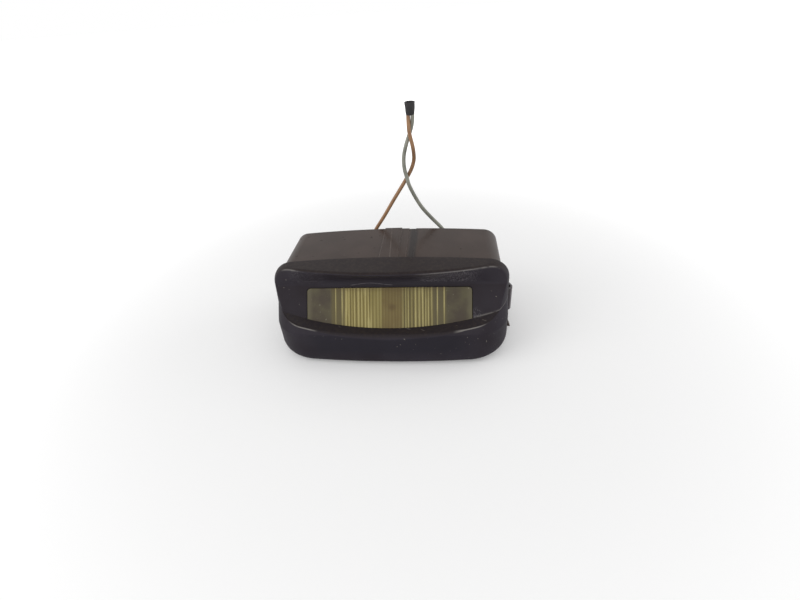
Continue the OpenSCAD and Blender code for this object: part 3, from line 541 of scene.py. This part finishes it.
def housing_plastic(place):
    """Smooth brown-grey plastic with soft gloss, faint flow clouds, few scuffs, dark dirt spots, and rounded
    edges made paler in patches by a painted highlight. Faces turned up also have a soft dark streak along
    the shallow groove and one pale scratch along the band."""
    across, back = place.part(0), place.part(1)
    top = place.node("NewGeometry", out=1).part(2).step(0.6, 0.85)
    soft, edge = rounded_edges(place, 0.0005)
    cloud, fine = place.noise(60, 4), place.noise(1800, 3)
    spots = place.noise(420, 2).step(0.69, 0.75)
    scuff = place.turned(0.8).stretched(0.2, 1.5, 1).noise(420, 3).step(0.66, 0.74)
    scuff = scuff * place.noise(40, 1).step(0.5, 0.65)
    streak = (across + place.noise(60, 2) * 0.0016).band(groove_streak_x, 0.0022, 0.0008)
    streak = streak * place.noise(90, 2).step(0.1, 0.45) * top
    scratch = (across + back * 0.06).band(band_scratch_x, 0.00035, 0.0001)
    scratch = scratch * place.noise(160, 3).step(0.35, 0.6) * top
    colour = cloud.step(0.3, 0.7).tint(rgb(58, 47, 42), rgb(67, 55, 50))
    colour = (spots * 0.6).tint(colour, rgb(42, 36, 32))
    # Painted highlight: the rounded edges are paler, in patches, where they catch the light.
    colour = (edge.step(0.03, 0.2) * (0.25 + cloud.step(0.35, 0.6) * 0.5)).tint(colour, rgb(112, 99, 91))
    colour = (streak * 0.9).tint(colour, rgb(36, 30, 29))
    colour = (scratch * 0.3 + scuff * 0.25).tint(colour, rgb(120, 110, 104))
    return {"Base Color": colour,
            "Roughness": 0.3 + cloud * 0.1 + spots * 0.2 + scuff * 0.15,
            "Normal": fine.bump(0.2, 0.00003, Normal=soft)}


def dress(names, material):
    """Gives CAD nodes that material in place of their own."""
    for name in names.split():
        nodes[name].data.materials.clear()
        nodes[name].data.materials.append(material)


dress("housing terminal_lid",
      finish("housing_plastic", housing_plastic, Specular_IOR_Level=0.08, Coat_Weight=0.16,
             Coat_Roughness=0.2))


# Lens: clear moulding gone yellow with age, its face smooth outside and fluted inside, frosted at both ends
# and browned by the bulb's heat in the middle. It sits in the window from behind, on its seal.
flute_pitch, single_lines, frosted_from, window_end = 0.0012, 0.0155, 0.0212, 0.0306
bulb_middle = (0.0014, -0.0166, 0.0205)


def yellowed(place):
    """Clear yellowed plastic: bright and dark lines where the flutes catch the light, olive with every
    second line further out, brown and darker over the bulb, with painted shade along its top edge under the
    brow, then cloudy and frosted with few pale specks and a paler rim."""
    across, high = place.part(0), place.part(2)
    side = across.maths("ABSOLUTE")
    outer = side.step(single_lines, single_lines + 0.002)
    frosted = side.step(frosted_from, frosted_from + 0.001)
    middle = across.band(bulb_middle[0], 0.0047, 0.0030)
    cloud, each = place.noise(170, 4), place.stretched(1, 0.06, 0.06).noise(640, 1)

    swayed = across + place.stretched(1, 0.02, 0.02).noise(190, 2) * 0.0021
    flutes, pairs = swayed.wave(flute_pitch, 0.0006), swayed.wave(2 * flute_pitch, 0.0003)
    light = flutes.step(0.5, 0.9) * (each.step(0.3, 0.6) * 0.8 + 0.2) + each.step(0.62, 0.7) * 0.6
    light = light * (1 - outer) + pairs.step(0.84, 0.99) * outer * (0.5 + high.step(0.0165, 0.0215) * 0.5)
    dark = flutes.step(0.45, 0.1) * (0.4 + each.step(0.6, 0.35) * 0.6) * (1 - outer)

    warm = (across + 0.002).step(0.006, -0.006)
    colour = (warm * 0.6 + 0.2).tint(rgb(122, 111, 68), rgb(150, 135, 76))
    colour = (outer * 0.8).tint(colour, rgb(88, 80, 58))
    colour = (dark * 0.7 * (1 - middle * 0.6)).tint(colour, rgb(80, 71, 42))
    colour = (light * 0.85 * (1 - middle * 0.75)).tint(colour, rgb(190, 177, 118))
    colour = (across.band(-0.0044, 0.0024, 0.0012) * 0.5).tint(colour, rgb(144, 131, 76))
    colour = (middle * (place.noise(160, 3) * 0.7 + 0.3) * 0.9).tint(colour, rgb(108, 88, 50))
    # Painted shade: the lens's top edge, under the brow, is darker brown.
    colour = (high.step(0.0245, 0.0266) * 0.4).tint(colour, rgb(92, 72, 42))
    colour = (place.away_from(bulb_middle).step(0.0022, 0.0002) * 0.5).tint(colour, rgb(84, 62, 34))
    colour = frosted.tint(colour, cloud.step(0.3, 0.7).tint(rgb(78, 69, 58), rgb(96, 90, 68)))
    colour = (side.step(window_end - 0.0021, window_end) * 0.5).tint(colour, rgb(112, 106, 84))
    colour = (frosted * place.noise(1400, 1).step(0.74, 0.78) * 0.7).tint(colour, rgb(178, 172, 150))
    return {"Base Color": colour, "Roughness": 0.25 + frosted * 0.25 + cloud * 0.1}


dress("lens", finish("lens_yellowed", yellowed, Transmission_Weight=0.12, IOR=1.49, Specular_IOR_Level=0.25))


# Lens seal: die-cut frame of closed-cell foam, squeezed between the lens's flange and the back of the
# cover's window so that no water gets in round the lens.
def foam(place):
    """Closed-cell foam: small dark cells."""
    cells = place.noise(2600, 2)
    return {"Base Color": cells.tint(rgb(30, 30, 30), rgb(58, 57, 55)),
            "Roughness": 0.8 + cells * 0.15,
            "Normal": cells.bump(0.6, 0.0001)}


dress("lens_seal", finish("foam", foam))


# Tinned pieces: the bent reflector trough in its cradle ribs, the bulb's end caps, the two rivets through
# the back wall and the ring terminals crimped to the wires. All are thin steel or brass, tinned and a little
# dulled.
def sheet_metal(bright, dull):
    """Rolled sheet: fine lines along x, duller patches of tarnish."""
    def build(place):
        lines = place.stretched(0.05, 1, 1).noise(4000, 2)
        patch = place.noise(220, 4).step(0.4, 0.7)
        return {"Base Color": patch.tint(bright, dull),
                "Roughness": 0.22 + patch * 0.25 + lines * 0.1,
                "Normal": lines.bump(0.2, 0.00003)}
    return build


dress("reflector bulb_cap_left bulb_cap_right contact_rivets terminal_left terminal_right",
      finish("tin_plate", sheet_metal(rgb(205, 204, 198), rgb(150, 147, 140)), Metallic=1.0))


# Contacts: two strips of rolled spring bronze, riveted to the back wall, that grip the bulb's end caps
# between them and carry its current.
dress("contact_left contact_right",
      finish("contact_bronze", sheet_metal(rgb(190, 150, 92), rgb(130, 94, 58)), Metallic=1.0))


# Bulb: a drawn glass tube closed into its caps at both ends, with a grey tungsten wire along its middle. The
# glass has browned a little from use.
def clear_glass(place):
    """Bulb glass with a faint brown haze from use."""
    haze = place.noise(200, 2)
    return {"Base Color": haze.tint(rgb(246, 246, 244), rgb(214, 204, 190)), "Roughness": haze * 0.06 + 0.02}


dress("bulb_glass", finish("bulb_glass", clear_glass, Transmission_Weight=1.0, IOR=1.5))
dress("bulb_filament",
      finish("filament_wire", sheet_metal(rgb(120, 118, 116), rgb(80, 78, 76)), Metallic=1.0))


# Wire seals: soft rubber bushes of the sleeve's kind, pushed into the terminal chamber's top where each wire
# leaves it.
dress("grommet_left grommet_right", seal_rubber)


# Side springs: bent strips of phosphated spring steel, hooked into the housing's ends. They snap out behind
# the body panel and hold the lamp in its cut-out.
def phosphated(place):
    """Grey-black phosphated strip with a fine crystal grain, rubbed brighter along its edges and in
    places."""
    grain = place.noise(3000, 2)
    edge = rounded_edges(place, 0.0003)[1]
    rubbed = (place.noise(300, 3).step(0.4, 0.8) * 0.35 + edge.step(0.03, 0.2) * 0.6).maths("MINIMUM", 1.0)
    return {"Base Color": rubbed.tint(rgb(96, 91, 95), rgb(128, 123, 123)),
            "Roughness": 0.5 + grain * 0.15 - rubbed * 0.15,
            "Normal": grain.bump(0.4, 0.00004)}


dress("side_spring_left side_spring_right", finish("spring_black", phosphated, Metallic=0.15))


# Stage: pale floor under the lamp that runs out to plain white, a white sky for the camera and for
# reflections, and three soft lamps: a key from the front left, a weak fill from the front, and one from the
# right.
def floor_paint(place):
    """Near-white paint. Seen directly, it is lifted a little near the lamp, and to plain white further
    off."""
    away = place.away_from((0, 0, 0)).step(0.08, 0.4)
    seen = place.node("LightPath", out="Is Camera Ray")
    return {"Base Color": place.noise(3, 2).tint((0.84, 0.84, 0.84, 1), (0.86, 0.86, 0.86, 1)),
            "Emission Color": (seen * (away * 0.85 + 0.15)).tint((0, 0, 0, 1), (1, 1, 1, 1))}


floor_half, floor_below = 3, 0.0001
floor_mesh = bpy.data.meshes.new("floor")
floor_corners = np.array([(-1, -1, 0), (1, -1, 0), (1, 1, 0), (-1, 1, 0)]) * floor_half
floor_mesh.from_pydata(floor_corners, [], [(0, 1, 2, 3)])
floor_mesh.materials.append(finish("floor_paint", floor_paint, Roughness=0.9, Emission_Strength=1.0))
floor = bpy.data.objects.new("floor", floor_mesh)
floor.location.z = -floor_below
bpy.context.scene.collection.objects.link(floor)

sky_light, lamp_aim = 0.68, (0, 0, 0.02)
world = bpy.data.worlds.new("studio")
bpy.context.scene.world = world
world.use_nodes = True
sky = world.node_tree.nodes["Background"]
start = Socket(world.node_tree)
seen = start.node("LightPath", out="Is Camera Ray")
for ray in ("Is Glossy Ray", "Is Transmission Ray"):
    seen = seen.maths("MAXIMUM", start.node("LightPath", out=ray))
world.node_tree.links.new((sky_light + seen * (1 - sky_light)).out, sky.inputs["Strength"])
sky.inputs["Color"].default_value = (1, 1, 1, 1)

for name, place, size, power in (("key", (-0.56, -0.25, 0.42), 0.5, 1.4),
                                 ("fill", (0.1, -0.7, 0.2), 0.6, 0.6),
                                 ("edge", (0.65, 0.2, 0.28), 0.4, 0.8)):
    lamp = bpy.data.objects.new(name, bpy.data.lights.new(name, "AREA"))
    lamp.data.size, lamp.data.energy = size, power
    aim = np.array(lamp_aim) - place
    lamp.location = place
    lamp.rotation_euler = (pi / 2 + atan2(aim[2], hypot(aim[0], aim[1])), 0, atan2(aim[1], aim[0]) - pi / 2)
    bpy.context.scene.collection.objects.link(lamp)

bpy.context.scene.view_settings.view_transform = "Standard"
